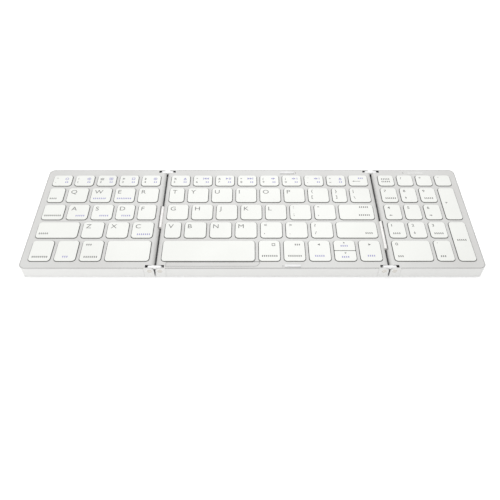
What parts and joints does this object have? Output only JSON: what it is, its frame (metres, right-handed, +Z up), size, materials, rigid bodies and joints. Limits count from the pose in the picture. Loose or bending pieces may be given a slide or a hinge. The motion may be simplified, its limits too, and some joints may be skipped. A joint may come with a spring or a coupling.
{
  "type": "folding keyboard",
  "caption": "Slim computer keyboard in hinged panels with a number pad; the side panels fold over onto the centre panel, keys inward.",
  "frame": {"origin": "on the table under the middle of the keyboard laid open", "axes": "+X along the keyboard to the number pad, +Y to the rear, away from the typist, +Z up"},
  "size_m": [0.3164, 0.098, 0.0117],
  "materials": {
    "shell_white": "satin white moulded plastic",
    "deck_silver": "pale silver-grey moulded plastic",
    "cap_white": "smooth white key plastic",
    "plate_aluminium": "pressed sheet",
    "membrane_film": "clear film with silicone domes",
    "scissor_white": "natural acetal",
    "foot_rubber": "soft grey rubber",
    "screw_steel": "zinc plated",
    "pin_steel": "turned steel",
    "pad_silicone": "white silicone",
    "barrel_white": "glossy white",
    "ribbon_film": "amber polyimide film",
    "battery_wrap": "foil pouch",
    "board_green": "solder mask",
    "port_steel": "plated sheet steel",
    "slider_grey": "moulded",
    "window_clear": "translucent white diffuser",
    "link_enamel": "white enamel on steel"
  },
  "bodies": {
    "centre_panel": {"centre_deck": "deck_silver", "centre_shell": "shell_white", "centre_support_plate": "plate_aluminium", "centre_membrane": "membrane_film", "centre_scissors": "scissor_white", "centre_feet": "foot_rubber", "centre_screws": "screw_steel", "centre_pins": "pin_steel", "bumper_pads": "pad_silicone", "cable_barrels": "barrel_white", "ribbon_cables": "ribbon_film"},
    "left_link": {"left_links": "link_enamel"},
    "left_panel": {"left_deck": "deck_silver", "left_shell": "shell_white", "left_support_plate": "plate_aluminium", "left_membrane": "membrane_film", "left_scissors": "scissor_white", "left_feet": "foot_rubber", "left_screws": "screw_steel", "left_pins": "pin_steel", "battery": "battery_wrap"},
    "right_link": {"right_links": "link_enamel"},
    "right_panel": {"right_deck": "deck_silver", "right_shell": "shell_white", "right_support_plate": "plate_aluminium", "right_membrane": "membrane_film", "right_scissors": "scissor_white", "right_feet": "foot_rubber", "right_screws": "screw_steel", "right_pins": "pin_steel", "main_board": "board_green", "usb_port": "port_steel", "indicator_window": "window_clear"},
    "power_slider": {"power_slider": "slider_grey"},
    "left_number_keys": {"left_number_keys": "cap_white"},
    "left_top_letters": {"left_top_letters": "cap_white"},
    "left_home_keys": {"left_home_keys": "cap_white"},
    "left_shift": {"left_shift": "cap_white"},
    "left_bottom_letters": {"left_bottom_letters": "cap_white"},
    "left_modifiers": {"left_modifiers": "cap_white"},
    "left_space": {"left_space": "cap_white"},
    "centre_number_keys": {"centre_number_keys": "cap_white"},
    "centre_top_letters": {"centre_top_letters": "cap_white"},
    "centre_home_letters": {"centre_home_letters": "cap_white"},
    "return_key": {"return_key": "cap_white"},
    "centre_bottom_letters": {"centre_bottom_letters": "cap_white"},
    "right_shift": {"right_shift": "cap_white"},
    "centre_space": {"centre_space": "cap_white"},
    "centre_modifiers": {"centre_modifiers": "cap_white"},
    "side_arrow_keys": {"side_arrow_keys": "cap_white"},
    "up_arrow": {"up_arrow": "cap_white"},
    "down_arrow": {"down_arrow": "cap_white"},
    "pad_top_keys": {"pad_top_keys": "cap_white"},
    "pad_789": {"pad_789": "cap_white"},
    "pad_456": {"pad_456": "cap_white"},
    "pad_123": {"pad_123": "cap_white"},
    "pad_plus": {"pad_plus": "cap_white"},
    "pad_enter": {"pad_enter": "cap_white"},
    "pad_zero": {"pad_zero": "cap_white"},
    "pad_dot": {"pad_dot": "cap_white"}
  },
  "joints": [
    {"name": "left_fold", "type": "hinge", "parent": "centre_panel", "child": "left_link", "pos_m": [-0.0626, 0, 0.00775], "axis": [0, 1, 0], "range_deg": [0, 90], "deforming": ["cable_barrels"]},
    {"name": "left_panel_turn", "type": "hinge", "parent": "left_link", "child": "left_panel", "pos_m": [-0.0696, 0, 0.00775], "axis": [0, 1, 0], "range_deg": [0, 90], "deforming": ["cable_barrels"]},
    {"name": "right_fold", "type": "hinge", "parent": "centre_panel", "child": "right_link", "pos_m": [0.0895, 0, 0.00775], "axis": [0, -1, 0], "range_deg": [0, 90], "deforming": ["cable_barrels"]},
    {"name": "right_panel_turn", "type": "hinge", "parent": "right_link", "child": "right_panel", "pos_m": [0.0965, 0, 0.00775], "axis": [0, -1, 0], "range_deg": [0, 90], "deforming": ["cable_barrels"]},
    {"name": "power_slide", "type": "slide", "parent": "right_panel", "child": "power_slider", "axis": [1, 0, 0], "range_m": [0, 0.002]},
    {"name": "left_number_keys_press", "type": "slide", "parent": "left_panel", "child": "left_number_keys", "axis": [0, 0, -1], "range_m": [0, 0.0014], "stiffness_N_per_m": 2000, "deforming": ["left_membrane", "left_scissors"]},
    {"name": "left_top_letters_press", "type": "slide", "parent": "left_panel", "child": "left_top_letters", "axis": [0, 0, -1], "range_m": [0, 0.0014], "stiffness_N_per_m": 2000, "deforming": ["left_membrane", "left_scissors"]},
    {"name": "left_home_keys_press", "type": "slide", "parent": "left_panel", "child": "left_home_keys", "axis": [0, 0, -1], "range_m": [0, 0.0014], "stiffness_N_per_m": 2000, "deforming": ["left_membrane", "left_scissors"]},
    {"name": "left_shift_press", "type": "slide", "parent": "left_panel", "child": "left_shift", "axis": [0, 0, -1], "range_m": [0, 0.0014], "stiffness_N_per_m": 400, "deforming": ["left_membrane", "left_scissors"]},
    {"name": "left_bottom_letters_press", "type": "slide", "parent": "left_panel", "child": "left_bottom_letters", "axis": [0, 0, -1], "range_m": [0, 0.0014], "stiffness_N_per_m": 1200, "deforming": ["left_membrane", "left_scissors"]},
    {"name": "left_modifiers_press", "type": "slide", "parent": "left_panel", "child": "left_modifiers", "axis": [0, 0, -1], "range_m": [0, 0.0014], "stiffness_N_per_m": 1200, "deforming": ["left_membrane", "left_scissors"]},
    {"name": "left_space_press", "type": "slide", "parent": "left_panel", "child": "left_space", "axis": [0, 0, -1], "range_m": [0, 0.0014], "stiffness_N_per_m": 400, "deforming": ["left_membrane", "left_scissors"]},
    {"name": "centre_number_keys_press", "type": "slide", "parent": "centre_panel", "child": "centre_number_keys", "axis": [0, 0, -1], "range_m": [0, 0.0014], "stiffness_N_per_m": 3600, "deforming": ["centre_membrane", "centre_scissors"]},
    {"name": "centre_top_letters_press", "type": "slide", "parent": "centre_panel", "child": "centre_top_letters", "axis": [0, 0, -1], "range_m": [0, 0.0014], "stiffness_N_per_m": 3600, "deforming": ["centre_membrane", "centre_scissors"]},
    {"name": "centre_home_letters_press", "type": "slide", "parent": "centre_panel", "child": "centre_home_letters", "axis": [0, 0, -1], "range_m": [0, 0.0014], "stiffness_N_per_m": 2800, "deforming": ["centre_membrane", "centre_scissors"]},
    {"name": "return_key_press", "type": "slide", "parent": "centre_panel", "child": "return_key", "axis": [0, 0, -1], "range_m": [0, 0.0014], "stiffness_N_per_m": 400, "deforming": ["centre_membrane", "centre_scissors"]},
    {"name": "centre_bottom_letters_press", "type": "slide", "parent": "centre_panel", "child": "centre_bottom_letters", "axis": [0, 0, -1], "range_m": [0, 0.0014], "stiffness_N_per_m": 2800, "deforming": ["centre_membrane", "centre_scissors"]},
    {"name": "right_shift_press", "type": "slide", "parent": "centre_panel", "child": "right_shift", "axis": [0, 0, -1], "range_m": [0, 0.0014], "stiffness_N_per_m": 400, "deforming": ["centre_membrane", "centre_scissors"]},
    {"name": "centre_space_press", "type": "slide", "parent": "centre_panel", "child": "centre_space", "axis": [0, 0, -1], "range_m": [0, 0.0014], "stiffness_N_per_m": 400, "deforming": ["centre_membrane", "centre_scissors"]},
    {"name": "centre_modifiers_press", "type": "slide", "parent": "centre_panel", "child": "centre_modifiers", "axis": [0, 0, -1], "range_m": [0, 0.0014], "stiffness_N_per_m": 800, "deforming": ["centre_membrane", "centre_scissors"]},
    {"name": "side_arrow_keys_press", "type": "slide", "parent": "centre_panel", "child": "side_arrow_keys", "axis": [0, 0, -1], "range_m": [0, 0.0014], "stiffness_N_per_m": 800, "deforming": ["centre_membrane", "centre_scissors"]},
    {"name": "up_arrow_press", "type": "slide", "parent": "centre_panel", "child": "up_arrow", "axis": [0, 0, -1], "range_m": [0, 0.0014], "stiffness_N_per_m": 400, "deforming": ["centre_membrane", "centre_scissors"]},
    {"name": "down_arrow_press", "type": "slide", "parent": "centre_panel", "child": "down_arrow", "axis": [0, 0, -1], "range_m": [0, 0.0014], "stiffness_N_per_m": 400, "deforming": ["centre_membrane", "centre_scissors"]},
    {"name": "pad_top_keys_press", "type": "slide", "parent": "right_panel", "child": "pad_top_keys", "axis": [0, 0, -1], "range_m": [0, 0.0014], "stiffness_N_per_m": 1600, "deforming": ["right_membrane", "right_scissors"]},
    {"name": "pad_789_press", "type": "slide", "parent": "right_panel", "child": "pad_789", "axis": [0, 0, -1], "range_m": [0, 0.0014], "stiffness_N_per_m": 1200, "deforming": ["right_membrane", "right_scissors"]},
    {"name": "pad_456_press", "type": "slide", "parent": "right_panel", "child": "pad_456", "axis": [0, 0, -1], "range_m": [0, 0.0014], "stiffness_N_per_m": 1200, "deforming": ["right_membrane", "right_scissors"]},
    {"name": "pad_123_press", "type": "slide", "parent": "right_panel", "child": "pad_123", "axis": [0, 0, -1], "range_m": [0, 0.0014], "stiffness_N_per_m": 1200, "deforming": ["right_membrane", "right_scissors"]},
    {"name": "pad_plus_press", "type": "slide", "parent": "right_panel", "child": "pad_plus", "axis": [0, 0, -1], "range_m": [0, 0.0014], "stiffness_N_per_m": 400, "deforming": ["right_membrane", "right_scissors"]},
    {"name": "pad_enter_press", "type": "slide", "parent": "right_panel", "child": "pad_enter", "axis": [0, 0, -1], "range_m": [0, 0.0014], "stiffness_N_per_m": 400, "deforming": ["right_membrane", "right_scissors"]},
    {"name": "pad_zero_press", "type": "slide", "parent": "right_panel", "child": "pad_zero", "axis": [0, 0, -1], "range_m": [0, 0.0014], "stiffness_N_per_m": 400, "deforming": ["right_membrane", "right_scissors"]},
    {"name": "pad_dot_press", "type": "slide", "parent": "right_panel", "child": "pad_dot", "axis": [0, 0, -1], "range_m": [0, 0.0014], "stiffness_N_per_m": 400, "deforming": ["right_membrane", "right_scissors"]}
  ]
}
